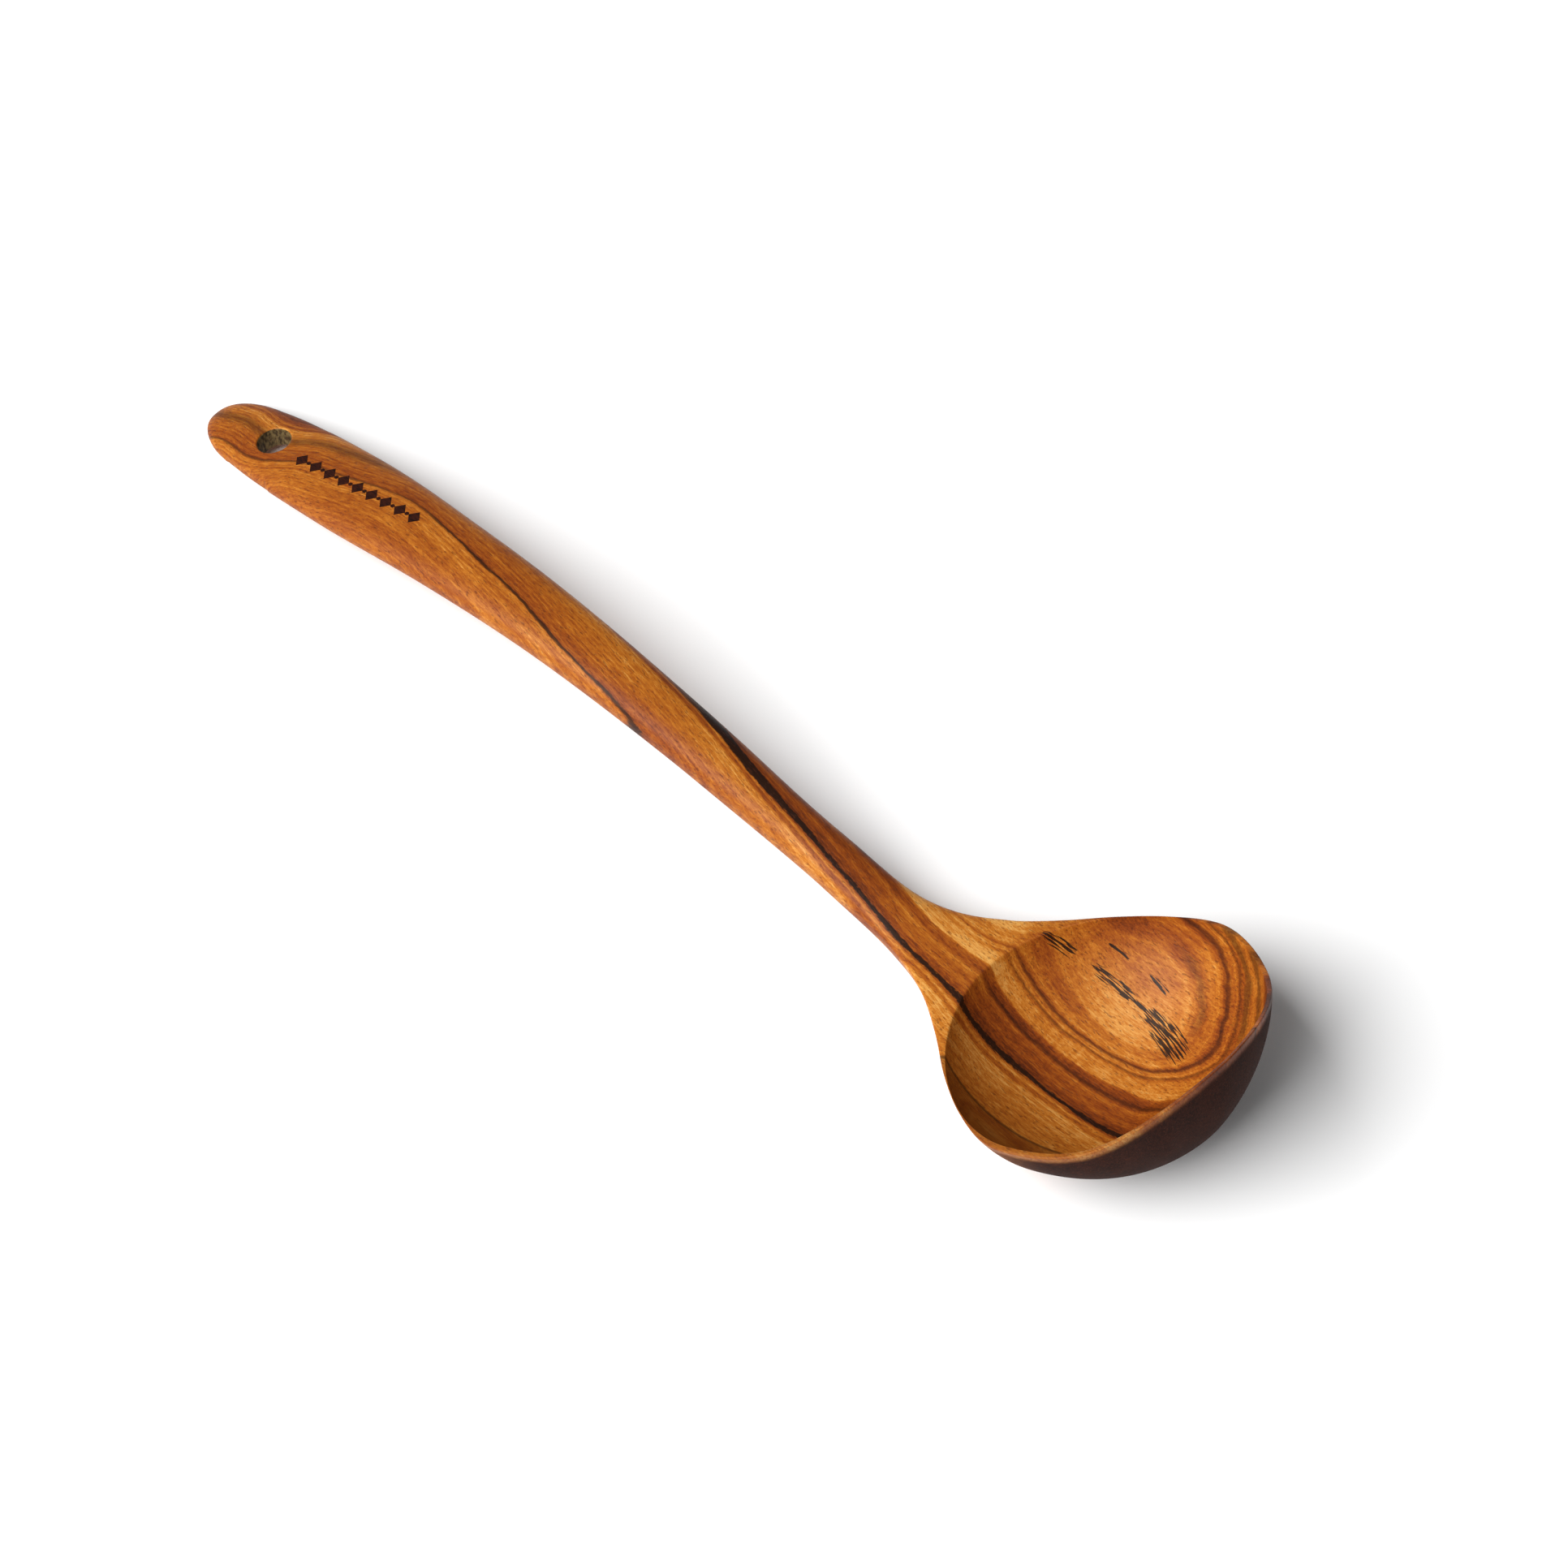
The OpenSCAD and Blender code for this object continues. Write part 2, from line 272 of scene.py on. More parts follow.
loop = patch_loop()
turn = np.arctan2(loop[:, 1], loop[:, 0] - HOLE_FROM_TIP)
walls = []
for surface, side in ((top_z, -1), (under_z, 1)):
    inner = hole_ring(turn, HOLE_D / 2 + EASE_R, surface, 0)
    rings = []
    for t in 1 - (1 - np.linspace(0, 1, 15)) ** 1.3:
        xy = loop * (1 - t) + inner[:, :2] * t
        rings.append(np.column_stack([xy, surface(xy[:, 0], xy[:, 1])]))
    for a in np.radians((18, 36, 54, 72, 90)):
        rings.append(hole_ring(turn, HOLE_D / 2 + EASE_R * (1 - math.sin(a)), surface,
                               side * EASE_R * (1 - math.cos(a))))
    walls.append(rings[-1])
    add_rings(rings if side < 0 else [r[::-1] for r in rings])
add_rings([walls[0] * (1 - t) + walls[1] * t for t in np.linspace(0, 1, 9)])

# bowl: rings round its centre, out under the bowl, over the rim and down the hollow
FRONT, FLANK = 64, 52
front_turn = np.linspace(0, math.pi / 2, FRONT + 1)
front = np.stack([WIDE_X + BOWL_FRONT * np.maximum(np.cos(front_turn), 0) ** (2 / FRONT_SQUARE),
                  BOWL_W / 2 * np.sin(front_turn) ** (2 / FRONT_SQUARE)], -1)
flank_share = np.linspace(0, 1, FLANK + 1)[1:]
flank_x = WIDE_X + (FLARE_X - WIDE_X) * (0.5 * flank_share
                                        + 0.5 * (1 - np.cos(flank_share * math.pi / 2)))
flank = np.stack([flank_x, half_w(flank_x)], -1)
cut = np.stack([np.full(HALF_RING, FLARE_X),
                half_w(np.array(FLARE_X)) * SHARES[::-1][1:HALF_RING + 1]], -1)
half_outline = np.concatenate([front, flank, cut])
mirror = half_outline[-2:0:-1] * [1, -1]
outline = np.concatenate([half_outline, mirror])
half_turn = np.concatenate([front_turn, math.radians(90) + math.radians(58) * flank_share,
                            math.radians(148) + math.radians(32)
                            * np.arange(1, HALF_RING + 1) / HALF_RING])
all_turn = np.concatenate([half_turn, -half_turn[-2:0:-1]])
edge = np.stack(hollow_edge(all_turn), -1)
middle = np.array([BOWL_MID, 0.0])
on_cut = np.zeros(len(outline), bool)
on_cut[FRONT + FLANK:FRONT + FLANK + 2 * HALF_RING + 1] = True

below = []
for r in np.sin(np.linspace(0, math.pi / 2, 61)):
    xy = middle + max(r, 1e-5) * (outline - middle)
    z = under_z(xy[:, 0], xy[:, 1])
    if r == 1:
        z = np.where(on_cut, z, edge_z(xy[:, 0]))
    below.append(np.column_stack([xy, z]))

band = np.linalg.norm(outline - edge, axis=1)[:, None]
steps_in = np.linspace(0, 1, 9)[1:-1] ** 1.15
above = []
for u in steps_in:
    xy = outline * (1 - u) + edge * u
    above.append(np.column_stack([xy, top_z(xy[:, 0], xy[:, 1])]))
# near the hollow the rings keep to a fixed distance from its edge
for gap in (0.9, 0.65, 0.45, 0.28, 0.14, 0.05):
    share = np.minimum(gap / band, 0.09 * gap / 0.9 + 0.02)
    xy = edge + (outline - edge) * share
    above.append(np.column_stack([xy, top_z(xy[:, 0], xy[:, 1])]))
HOLLOW_DEPTH = BOWL_DEPTH - FLOOR_T
edge_top = top_z(edge[:, 0], edge[:, 1]) - 0.4
for r in np.sin(np.linspace(math.pi / 2, 0, 71)):
    r = max(r, 1e-5)
    xy = middle + r * (edge - middle)
    z = edge_z(xy[:, 0]) * (1 - r) + edge_top * r - HOLLOW_DEPTH * dish(r, WALL_LEAN + 4)
    above.append(np.column_stack([xy, z]))

# sandpaper softens the rim: each line from under the bowl over the rim into the hollow
# is smoothed across the edge, but the flat section towards the neck stays put
line = np.stack(below + above)
start = len(below) - 1
soften = np.ones(len(outline))
soften[on_cut] = 0
for _ in range(4):
    soften = (np.roll(soften, 1) + soften + np.roll(soften, -1)) / 3 * (~on_cut)
for _ in range(10):
    rounder = line.copy()
    for k in range(start - 4, start + 5):
        rounder[k] = line[k] + soften[:, None] * ((line[k - 1] + line[k + 1]) / 2 - line[k]) / 2
    line = rounder
lip_at = len(below) + len(steps_in) + 6
for _ in range(10):
    rounder = line.copy()
    for k in range(lip_at - 5, lip_at + 6):
        rounder[k] = (line[k - 1] + 2 * line[k] + line[k + 1]) / 4
    line = rounder
top_outline = line[start].copy()
cut_top = np.column_stack([outline, top_z(outline[:, 0], outline[:, 1])])
top_outline[on_cut] = cut_top[on_cut]
for i in (FRONT + FLANK, FRONT + FLANK + 2 * HALF_RING):
    top_outline[i] = line[start][i]
add_rings(list(line[:start + 1]))
add_rings([top_outline] + list(line[start + 1:]))

blank = bpy.data.meshes.new("ladle")
all_points = lean_back(np.concatenate([np.concatenate(points), tip_middle]))
low, high = all_points.min(0), all_points.max(0)
cad_low, cad_high = np.array(cad_box[0]) * 1000, np.array(cad_box[1]) * 1000
SHIFT = np.array([(cad_low[0] + cad_high[0] - low[0] - high[0]) / 2, 0.0, cad_low[2] - low[2]])
all_points = (all_points + SHIFT) / 1000
last = len(all_points) - 1
tip_fan = [(last, i, (i + 1) % RING) for i in range(RING)]
blank.from_pydata(all_points.tolist(), [], quads + tip_fan)
mesh = bmesh.new()
mesh.from_mesh(blank)
bmesh.ops.remove_doubles(mesh, verts=mesh.verts, dist=1.5e-6)
bmesh.ops.dissolve_degenerate(mesh, edges=mesh.edges, dist=1e-7)
bmesh.ops.recalc_face_normals(mesh, faces=mesh.faces)
open_edges = sum(not e.is_manifold for e in mesh.edges)
print("ladle: open edges", open_edges, "faces", len(mesh.faces), "volume cm3",
      round(mesh.calc_volume(signed=True) * 1e6, 1))
mesh.to_mesh(blank)
mesh.free()

# the bowl's outside and the hole's wall are marked: the bowl's outside gets painted shade, the hole's
# wall dusty end grain darkened as painted shade
spots = np.empty(3 * len(blank.vertices))
blank.vertices.foreach_get("co", spots)
spots = spots.reshape(-1, 3) * 1000 - SHIFT
c, s = math.cos(LEAN), math.sin(LEAN)
carved = np.stack([spots[:, 0] * c + spots[:, 2] * s, spots[:, 1],
                   spots[:, 2] * c - spots[:, 0] * s], -1)
above_under = carved[:, 2] - under_z(carved[:, 0], carved[:, 1])
below_edge = edge_z(carved[:, 0]) - carved[:, 2]
on_outside = (ease((below_edge - 0.8) / 2.0) * (np.abs(above_under) < 0.6)
              * ease((carved[:, 0] - 235) / 40))
blank.attributes.new("outside", "FLOAT", "POINT").data.foreach_set("value", on_outside)
off_axis = carved - hole_mid
off_axis -= (off_axis @ drill_z)[:, None] * drill_z
in_bore = np.linalg.norm(off_axis, axis=1) < HOLE_D / 2 + 0.06
blank.attributes.new("bore", "FLOAT", "POINT").data.foreach_set("value", in_bore.astype(float))
for face in blank.polygons:
    face.use_smooth = True
ladle = bpy.data.objects.new("ladle", blank)
bpy.context.scene.collection.objects.link(ladle)


def srgb(hex_code):
    """a colour written as sRGB hex, as the linear values a shader takes"""
    linear = []
    for i in (0, 2, 4):
        c = int(hex_code[i:i + 2], 16) / 255
        linear.append(c / 12.92 if c <= 0.04045 else ((c + 0.055) / 1.055) ** 2.4)
    return (*linear, 1.0)


def add(tree, kind, values=None, **settings):
    """adds a node with its settings; values maps an input to a value or to an output to link"""
    node = tree.nodes.new(kind)
    for name, value in settings.items():
        setattr(node, name, value)
    for key, value in (values or {}).items():
        value = getattr(value, "output", value)
        if isinstance(value, bpy.types.NodeSocket):
            tree.links.new(value, node.inputs[key])
        else:
            node.inputs[key].default_value = value
    return node


class Amount:
    """a number that differs from point to point, so arithmetic on it is written as usual"""

    def __init__(self, output):
        self.output = output

    def work(self, operation, *values):
        values = dict(enumerate(values))
        return Amount(add(self.output.id_data, "ShaderNodeMath", values, operation=operation).outputs[0])

    def __add__(self, other):
        return self.work("ADD", self, other)

    def __radd__(self, other):
        return self.work("ADD", other, self)

    def __sub__(self, other):
        return self.work("SUBTRACT", self, other)

    def __rsub__(self, other):
        return self.work("SUBTRACT", other, self)

    def __mul__(self, other):
        return self.work("MULTIPLY", self, other)

    def __truediv__(self, other):
        return self.work("DIVIDE", self, other)

    def __pow__(self, other):
        return self.work("POWER", self, other)

    def __abs__(self):
        return self.work("ABSOLUTE", self)


def strongest(first, *others):
    """the largest of several amounts at each point"""
    for other in others:
        first = first.work("MAXIMUM", first, other)
    return first


def fade(value, start, end):
    """0 at start, easing to 1 at end"""
    return Amount(add(value.output.id_data, "ShaderNodeMapRange", {
        "Value": value, "From Min": start, "From Max": end}, interpolation_type="SMOOTHSTEP").outputs[0])


def speckle(x, y, z, per_mm, detail=2.0, rough=0.5):
    """an uneven pattern through the wood, 0 to 1, with so many repeats per millimetre each way"""
    tree = x.output.id_data
    where = add(tree, "ShaderNodeCombineXYZ", {0: x * per_mm[0], 1: y * per_mm[1], 2: z * per_mm[2]})
    return Amount(add(tree, "ShaderNodeTexNoise", {
        "Vector": where.outputs[0], "Scale": 1.0, "Detail": detail, "Roughness": rough}).outputs[0])


def centred(value, size):
    """a speckle made to swing by about size either side of zero"""
    return (value - 0.5) * (2.5 * size)


def graded(value, stops, easing="EASE"):
    """greys or colours that run from stop to stop as the value rises"""
    node = add(value.output.id_data, "ShaderNodeValToRGB", {"Fac": value})
    node.color_ramp.interpolation = easing
    bar = node.color_ramp.elements
    for k, (at, shade) in enumerate(stops):
        stop = bar[k] if k < 2 else bar.new(at)
        stop.position = at
        stop.color = shade if isinstance(shade, tuple) else (shade, shade, shade, 1)
    return node.outputs[0]


def stained(base, colour, share):
    """the base colour, turned into another by a share of 0 to 1"""
    return add(share.output.id_data, "ShaderNodeMix", {"Factor": share, 6: base, 7: colour},
               data_type="RGBA").outputs[2]


# oiled teak, sanded fine: a satin skin that shows the wood's own layers and little shine
teak = bpy.data.materials.new("oiled_teak")
teak.use_nodes = True
tree = teak.node_tree
tree.nodes.clear()

# where a point sits in the blank, in millimetres: x along the ladle, y across, z up
spot = add(tree, "ShaderNodeSeparateXYZ", {0: add(tree, "ShaderNodeVectorMath", {
    0: add(tree, "ShaderNodeTexCoord").outputs["Object"], 1: (1000.0, 1000.0, 1000.0)},
    operation="MULTIPLY").outputs[0]})
x, y, z = (Amount(output) for output in spot.outputs)

# growth layers: upright sheets that cross the handle at a slant, curl round near its tip,
# and fan out over the bowl towards its far side; layer is a sheet's distance in millimetres
slant = (x.work("MINIMUM", x, 100.0) - 100.0) * 0.15
past_tip = -106.0 - x
curl = x.work("SMOOTH_MAX", past_tip, 0.0, 16.0) * 0.36 + fade(abs(x + 150.0), 14.0, 1.0) * 3.6
across = y + slant + curl
fan = fade(x, 82, 116)
dx, dz = x - 120.0, z - 6.0
lean = fan * (dz * 0.55 + dx * 0.14)
spread = 1.0 + fan * (dz * 0.065 + dx * 0.008)
bend = fan * x.work("SMOOTH_MAX", y - 20.0, 0.0, 8.0) * 0.24
wander = centred(speckle(x, y, z, (0.022, 0.05, 0.05), 1.0), 1.5)
ripple = centred(speckle(x, y, z, (0.09, 0.3, 0.3), 2.0), 0.35)
layer = (across - lean) / spread - bend + (wander + ripple)

# how pale each layer is: 0 dark heart, 1 pale gold
LAYER_FROM, LAYER_TO = -50.0, 22.0
PALENESS = [
    (-50, 0.52), (-44, 0.62), (-38, 0.54), (-30, 0.65), (-26.2, 0.62), (-25.2, 0.50), (-22.5, 0.54),
    (-20.5, 0.60), (-16, 0.66), (-13.2, 0.72), (-12.2, 0.50), (-11.4, 0.66), (-10.4, 0.42),
    (-8.6, 0.34), (-6.6, 0.50), (-5.4, 0.42), (-3.6, 0.58), (-2.4, 0.36), (-1.2, 0.44), (0.4, 0.70),
    (2.8, 0.76), (4.6, 0.58), (5.4, 0.70), (6.4, 0.52), (7.4, 0.74), (8.8, 0.66), (10.4, 0.80),
    (13, 0.80), (18, 0.7)]
along_blank = add(tree, "ShaderNodeMapRange", {
    "Value": layer, "From Min": LAYER_FROM, "From Max": LAYER_TO})
layer_tone = Amount(graded(Amount(along_blank.outputs[0]), [
    ((at - LAYER_FROM) / (LAYER_TO - LAYER_FROM), pale) for at, pale in PALENESS]))


def banding(per_mm, detail, rough, swing):
    """tone that changes from layer to layer, with so many bands per millimetre"""
    bands = add(tree, "ShaderNodeTexNoise", {
        "W": layer * per_mm, "Scale": 1.0, "Detail": detail, "Roughness": rough},
        noise_dimensions="1D")
    return centred(Amount(bands.outputs[0]), swing)


broad = banding(0.36, 2.0, 0.5, 0.12)
rings = banding(1.3, 4.0, 0.7, 0.17) * (fade(layer, 12, 7) * 0.75 + 0.25)
cloud = centred(speckle(x, across, z, (0.05, 0.22, 0.12), 4.0), 0.12)
# fibres are finer than this in real teak; they are drawn as coarse as they need to show
fibre = centred(speckle(x, across, z, (0.3, 1.7, 1.0), 4.0, 0.85), 0.34)
# wavy figure that crosses the grain in the middle of the hollow
figure = centred(speckle(x, layer, z, (0.75, 0.16, 0.3), 1.0), 0.12) * (
    fade(x, 106, 116) * fade(x, 144, 134) * fade(y, 12, 2) * fade(y, -9, -3))
# redder or more golden stretches of wood: the lip, the far wall and the flare; the hollow's back is
# darkened as painted shade, and the near wall is lightened as painted light
local = (fade(x, 134, 152) * fade(y, 6, 20) * -0.13
         + fade(x, 96, 112) * fade(x, 140, 128) * fade(y, 22, 29) * -0.16
         + fade(x, 92, 100) * fade(x, 124, 108) * fade(y, 4, 14) * -0.15
         + fade(x, 94, 106) * fade(y, -9, -13) * 0.09
         + fade(x, 60, 74) * fade(x, 104, 96) * 0.09)
tone = layer_tone + broad + rings + cloud + fibre + figure + local
wood = graded(tone, [
    (0.0, srgb("240D04")), (0.25, srgb("56240A")), (0.45, srgb("823C0E")), (0.6, srgb("9A5214")),
    (0.75, srgb("B46C20")), (1.0, srgb("D69E52"))], "LINEAR")

# dark heart streaks: single layers with ragged, hairy edges
ragged = centred(speckle(x, across, z, (0.45, 2.4, 1.6), 3.0, 0.7), 0.55)


def streak(at, width, soft, rough):
    """1 inside a dark layer of that half width in millimetres, falling to 0 over soft"""
    off = abs(layer - at + ragged * rough)
    return fade(off - width, soft, 0.0)


BLACK_LAYER, FINE_LAYER, KNOT_LAYER = -9.8, -25.4, -17.5
thick = speckle(x, 0.0, 0.0, (0.05, 1, 1), 1.0) * 1.1
black_line = (streak(BLACK_LAYER, thick * 0.8 - 0.02 + fade(x, 34, 16) * 0.7, 0.4, 0.9)
              * fade(x, -24, 0) * fade(x, 166, 150))
fine_line = streak(FINE_LAYER, thick * 0.6 - 0.16, 0.4, 0.6) * (0.6 + fade(x, -105, -85) * 0.3)
knot_line = streak(KNOT_LAYER, 0.3, 2.2, 1.6) * fade(x, -108, -124) * 0.55
# the brown one by the near wall leans on its own; past it the wood is darker
side = (y + 67.7 - (x * 0.25 + z * 0.685)) / 1.24
in_bowl = fade(x, 94, 104)
brown_line = fade(abs(side + ragged * 0.5), 0.85, 0.15) * in_bowl * 0.75
past_side = fade(side, 0.3, -0.8) * in_bowl * 0.4
ring_lines = strongest(streak(6.3, 0.1, 0.5, 0.5), streak(4.7, 0.0, 0.45, 0.5),
                       streak(-2.5, 0.1, 0.7, 0.6)) * in_bowl * 0.5
wall_lines = strongest(streak(3.4, 0.25, 0.6, 0.4), streak(1.4, 0.1, 0.6, 0.4),
                       streak(9.2, 0.0, 0.7, 0.8) * 0.7) * fade(x, 124, 136) * fade(y, 21, 27) * 0.6

# black flecks in the bowl: short slits that bow with the grain, crowded into one band
# that opens out towards the front, and two longer ones beyond it
bow = y + (x - 124.0) ** 2.0 * 0.01
slits = speckle(x, bow, 0.0, (0.16, 2.1, 1), 1.0, 0.6)
from_band = abs(bow - 22.1) - fade(x, 128, 138) * 1.7
fleck_zone = (fade(from_band, 2.0, 0.3) * strongest(fade(x, 110, 107), fade(x, 112, 117))
              * fade(x, 100, 103) * fade(x, 148, 143))
long_slits = fade(abs(bow - 28.2), 0.9, 0.2) * strongest(
    fade(abs(x - 116.6), 3.4, 1.6), fade(abs(x - 129.2), 3.8, 1.8))
zone = strongest(fleck_zone, long_slits) * fade(z, 26, 22)
flecks = fade(zone, 0.05, 0.3) * fade(slits + zone * 0.16, 0.60, 0.65)

dark = strongest(black_line, fine_line, brown_line, knot_line, ring_lines, wall_lines, flecks)
wood = stained(wood, srgb("4A2008"), past_side)
wood = stained(wood, srgb("140A06"), dark * 0.95)

# the bowl's outside is painted dark as shade: painted shade, near black brown, over its outer wall, with
# little of the hollow's banding
outside = Amount(add(tree, "ShaderNodeAttribute", attribute_name="outside").outputs["Fac"])
painted_shade_outside = outside * fade(x, 126, 150)
painted_shade_colour = stained(srgb("1A0803"), srgb("381507"), fade(fibre + cloud, -0.25, 0.25))
wood = stained(wood, painted_shade_colour, painted_shade_outside)

# the drilled wall of the hole is bare end grain, dusty and grey beside the oiled faces, and darkened
# inside the hole as painted shade
bore = Amount(add(tree, "ShaderNodeAttribute", attribute_name="bore").outputs["Fac"])
dust_and_shade = fade(speckle(x, y, z, (1.2, 1.2, 0.6), 3.0), 0.35, 0.65)
wood = stained(wood, stained(srgb("3A2C1A"), srgb("7E6A44"), dust_and_shade), bore)

# open pores: fine dark dashes along the grain, drawn as coarse as they need to show
pores = fade(speckle(x, across, z, (0.6, 2.6, 1.6), 1.0), 0.60, 0.70)
wood = stained(wood, srgb("4A200A"), pores * 0.5)

# fibres stand a little proud and pores sink in; pale layers polish better than dark ones
bump = add(tree, "ShaderNodeBump", {
    "Strength": 0.8, "Distance": 0.00015, "Height": fibre * 0.6 + pores * -0.25})
rough = 0.45 + painted_shade_outside * 0.5 + (0.6 - tone) * 0.15
shader = add(tree, "ShaderNodeBsdfPrincipled", {
    "Base Color": wood, "Roughness": rough, "Normal": bump.outputs[0], "IOR": 1.26})
add(tree, "ShaderNodeOutputMaterial", {"Surface": shader.outputs[0]})
blank.materials.append(teak)

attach(ladle, "root")
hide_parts("bowl", "neck", "handle", "handle_end")

# ---------------------------------------------------------------------------
# The burned ornament: a row of plain lozenges with dots between them, pressed
# into the top of the handle behind the hole with a hot iron, so each is a thin
# skin of charred teak that lies in the handle's surface.
# ---------------------------------------------------------------------------

MARK_START, MARK_END = (-0.1385, -0.0012, 0.0), (-0.0990, 0.0009, 0.0)
burn = bpy.data.node_groups.new("burned_row", "GeometryNodeTree")
sizes = {"Lozenges": 9, "Length": 0.0038, "Width": 0.0044, "Dot": 0.0006, "Depth": 0.00012}
for name, value in sizes.items():
    kind = "NodeSocketInt" if name == "Lozenges" else "NodeSocketFloat"
    burn.interface.new_socket(name, in_out="INPUT", socket_type=kind).default_value = value
burn.interface.new_socket("Ladle", in_out="INPUT", socket_type="NodeSocketObject")
burn.interface.new_socket("Char", in_out="INPUT", socket_type="NodeSocketMaterial")
burn.interface.new_socket("Geometry", in_out="OUTPUT", socket_type="NodeSocketGeometry")
given = add(burn, "NodeGroupInput").outputs


def row(count, start, end, shape, size):
    """count copies of a shape, evenly between two points"""
    line = add(burn, "GeometryNodeMeshLine", {
        "Count": count, "Start Location": start, "Offset": end}, mode="END_POINTS")
    return add(burn, "GeometryNodeInstanceOnPoints", {
        "Points": line.outputs[0], "Instance": shape, "Scale": size}).outputs[0]


def slab(sides, rings):
    """a thin closed plate of that many sides, 1 across its corners' radius"""
    return add(burn, "GeometryNodeMeshCylinder", {
        "Vertices": sides, "Side Segments": 1, "Fill Segments": rings, "Radius": 1.0,
        "Depth": given["Depth"]}, fill_type="TRIANGLE_FAN").outputs[0]


lozenge_size = add(burn, "ShaderNodeCombineXYZ", {
    0: Amount(given["Length"]) * 0.5, 1: Amount(given["Width"]) * 0.5, 2: 1.0})
dot_size = add(burn, "ShaderNodeCombineXYZ", {0: given["Dot"], 1: given["Dot"], 2: 1.0})
half_gap = [(b - a) / (sizes["Lozenges"] - 1) / 2 for a, b in zip(MARK_START, MARK_END)]
dots_from = tuple(a + h for a, h in zip(MARK_START, half_gap))
dots_to = tuple(b - h for b, h in zip(MARK_END, half_gap))
lozenges = row(given["Lozenges"], MARK_START, MARK_END, slab(4, 8), lozenge_size.outputs[0])
dots = row(Amount(given["Lozenges"]) - 1, dots_from, dots_to, slab(12, 2), dot_size.outputs[0])
both = add(burn, "GeometryNodeJoinGeometry")
for part in (lozenges, dots):
    burn.links.new(part, both.inputs[0])
real = add(burn, "GeometryNodeRealizeInstances", {0: both.outputs[0]}).outputs[0]
# each point drops onto the handle's top and keeps its height within the plate
here = add(burn, "GeometryNodeInputPosition").outputs[0]
height = add(burn, "ShaderNodeSeparateXYZ", {0: here}).outputs[2]
above_it = add(burn, "ShaderNodeVectorMath", {0: here, 1: (0, 0, 0.2)}, operation="ADD").outputs[0]
target = add(burn, "GeometryNodeObjectInfo", {"Object": given["Ladle"]}).outputs["Geometry"]
fall = add(burn, "GeometryNodeRaycast", {
    "Target Geometry": target, "Source Position": above_it, "Ray Direction": (0, 0, -1),
    "Ray Length": 1.0})
rise = add(burn, "ShaderNodeCombineXYZ", {2: height}).outputs[0]
laid = add(burn, "GeometryNodeSetPosition", {"Geometry": real, "Position": add(
    burn, "ShaderNodeVectorMath", {0: fall.outputs["Hit Position"], 1: rise},
    operation="ADD").outputs[0]}).outputs[0]
charred = add(burn, "GeometryNodeSetMaterial", {"Geometry": laid, "Material": given["Char"]})
add(burn, "NodeGroupOutput", {0: charred.outputs[0]})

# charred teak: near black brown, dull, a little uneven
char = bpy.data.materials.new("charred_teak")
char.use_nodes = True
tree = char.node_tree
tree.nodes.clear()
scorch_at = add(tree, "ShaderNodeVectorMath", {
    0: add(tree, "ShaderNodeTexCoord").outputs["Object"], 1: (300.0, 2400.0, 2400.0)},
    operation="MULTIPLY")
scorch = add(tree, "ShaderNodeTexNoise", {"Vector": scorch_at.outputs[0], "Scale": 1.0})
char_shade = graded(Amount(scorch.outputs[0]), [(0.3, srgb("140806")), (0.7, srgb("3A160B"))],
                    "LINEAR")
shader = add(tree, "ShaderNodeBsdfPrincipled", {
    "Base Color": char_shade, "Roughness": 0.8, "Specular IOR Level": 0.1})
add(tree, "ShaderNodeOutputMaterial", {"Surface": shader.outputs[0]})

carrier = bpy.data.objects.new("burned_row", bpy.data.meshes.new("burned_row"))
bpy.context.scene.collection.objects.link(carrier)
press = carrier.modifiers.new("burned_row", "NODES")
press.node_group = burn
for item in burn.interface.items_tree:
    if item.in_out == "INPUT":
        press[item.identifier] = {"Ladle": ladle, "Char": char}.get(item.name, sizes.get(item.name))
bpy.context.view_layer.update()
plain = bpy.data.meshes.new_from_object(carrier.evaluated_get(
    bpy.context.evaluated_depsgraph_get()))
carrier.modifiers.remove(press)
carrier.data = plain
carrier.name = plain.name = "burned_mark"
print("burned mark: faces", len(plain.polygons))
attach(carrier, "root")

# ---------------------------------------------------------------------------
# Studio: a wide sheet of white paper, one big soft box high on the near side and
# a weak even fill, and the camera.
# ---------------------------------------------------------------------------

floor_mesh = bpy.data.meshes.new("floor")
floor_mesh.from_pydata([(-6, -6, 0), (6, -6, 0), (6, 6, 0), (-6, 6, 0)], [], [(0, 1, 2, 3)])
floor = bpy.data.objects.new("floor", floor_mesh)
bpy.context.scene.collection.objects.link(floor)
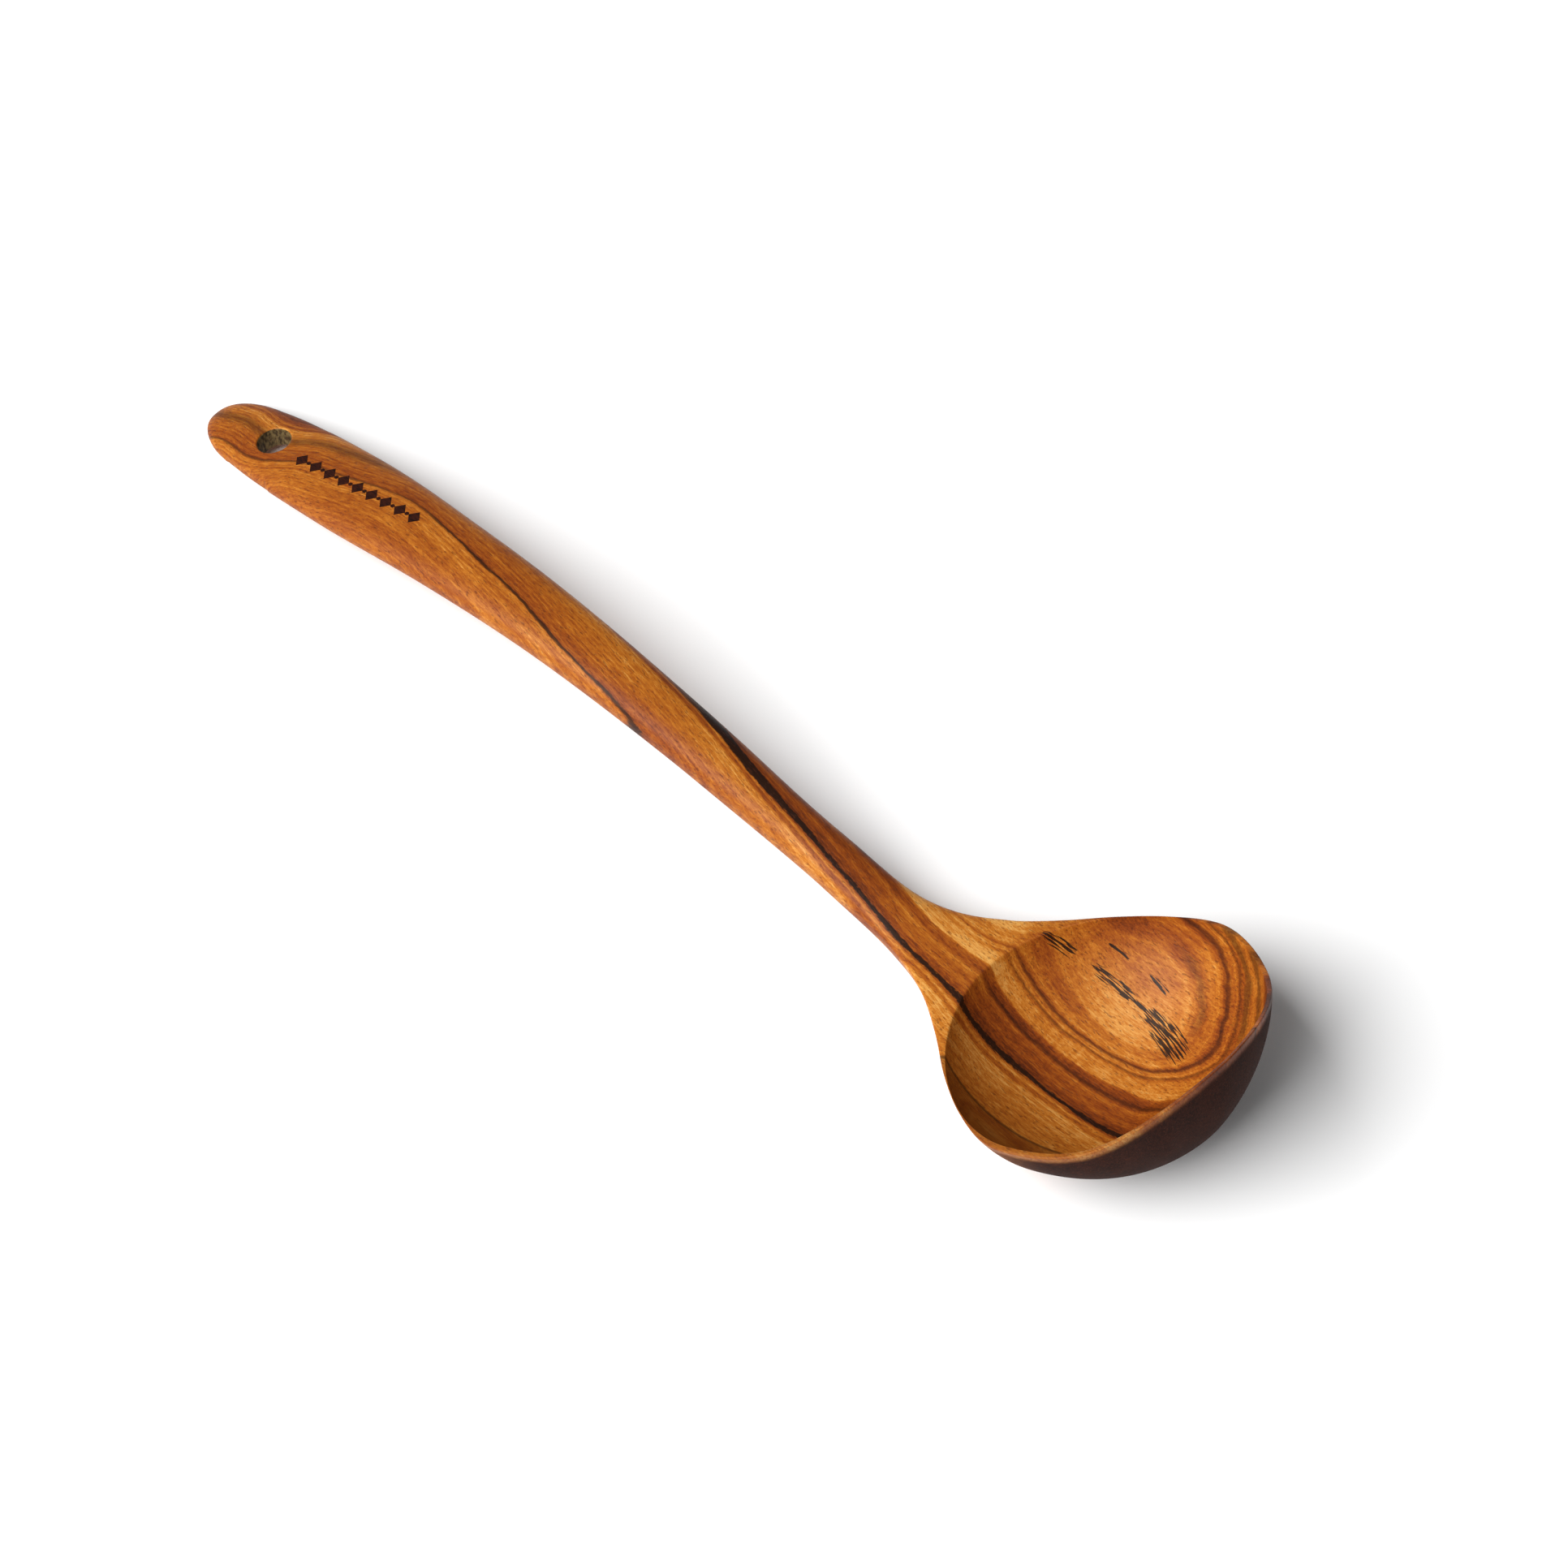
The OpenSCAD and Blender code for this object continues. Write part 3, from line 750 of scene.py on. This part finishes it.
# matt white paper: no gloss at all, so only the soft shadow shows
paper = bpy.data.materials.new("white_paper")
paper.use_nodes = True
paper.node_tree.nodes["Principled BSDF"].inputs["Base Color"].default_value = srgb("FFFFFF")
paper.node_tree.nodes["Principled BSDF"].inputs["Roughness"].default_value = 1.0
paper.node_tree.nodes["Principled BSDF"].inputs["Specular IOR Level"].default_value = 0.0
floor_mesh.materials.append(paper)

world = bpy.data.worlds.new("studio")
bpy.context.scene.world = world
world.use_nodes = True
world.node_tree.nodes["Background"].inputs["Color"].default_value = (1, 1, 1, 1)
world.node_tree.nodes["Background"].inputs["Strength"].default_value = 0.17


def soft_box(name, place, aim, size, power):
    light = bpy.data.lights.new(name, "AREA")
    light.shape = "RECTANGLE"
    light.size, light.size_y = size
    light.energy = power
    lamp = bpy.data.objects.new(name, light)
    lamp.location = place
    lamp.rotation_euler = (Vector(aim) - Vector(place)).to_track_quat("-Z", "Y").to_euler()
    bpy.context.scene.collection.objects.link(lamp)


soft_box("key_light", (-0.66, -2.40, 2.80), (0.05, 0, 0.02), (3.2, 3.2), 256)

VIEW_AZIMUTH, VIEW_HEIGHT, VIEW_ROLL = math.radians(43.34), math.radians(55.64), math.radians(-0.53)
VIEW_DISTANCE = 1.46
LOOK_AT, AIM_RIGHT, AIM_UP = Vector((0, 0, 0.02)), 0.02243, -0.01055
back = Vector((math.sin(VIEW_AZIMUTH) * math.cos(VIEW_HEIGHT),
               -math.cos(VIEW_AZIMUTH) * math.cos(VIEW_HEIGHT), math.sin(VIEW_HEIGHT)))
right = Vector((math.cos(VIEW_AZIMUTH), math.sin(VIEW_AZIMUTH), 0))
up = back.cross(right)
right, up = (right * math.cos(VIEW_ROLL) + up * math.sin(VIEW_ROLL),
             up * math.cos(VIEW_ROLL) - right * math.sin(VIEW_ROLL))
camera_data = bpy.data.cameras.new("camera")
camera_data.sensor_width = 36
camera_data.lens = 134.8
camera_data.clip_start, camera_data.clip_end = 0.05, 30
camera = bpy.data.objects.new("camera", camera_data)
turn_to_view = Matrix((right, up, back)).transposed().to_4x4()
camera.matrix_world = Matrix.Translation(
    LOOK_AT + AIM_RIGHT * right + AIM_UP * up + VIEW_DISTANCE * back) @ turn_to_view
bpy.context.scene.collection.objects.link(camera)
bpy.context.scene.camera = camera
bpy.context.scene.view_settings.view_transform = "Standard"
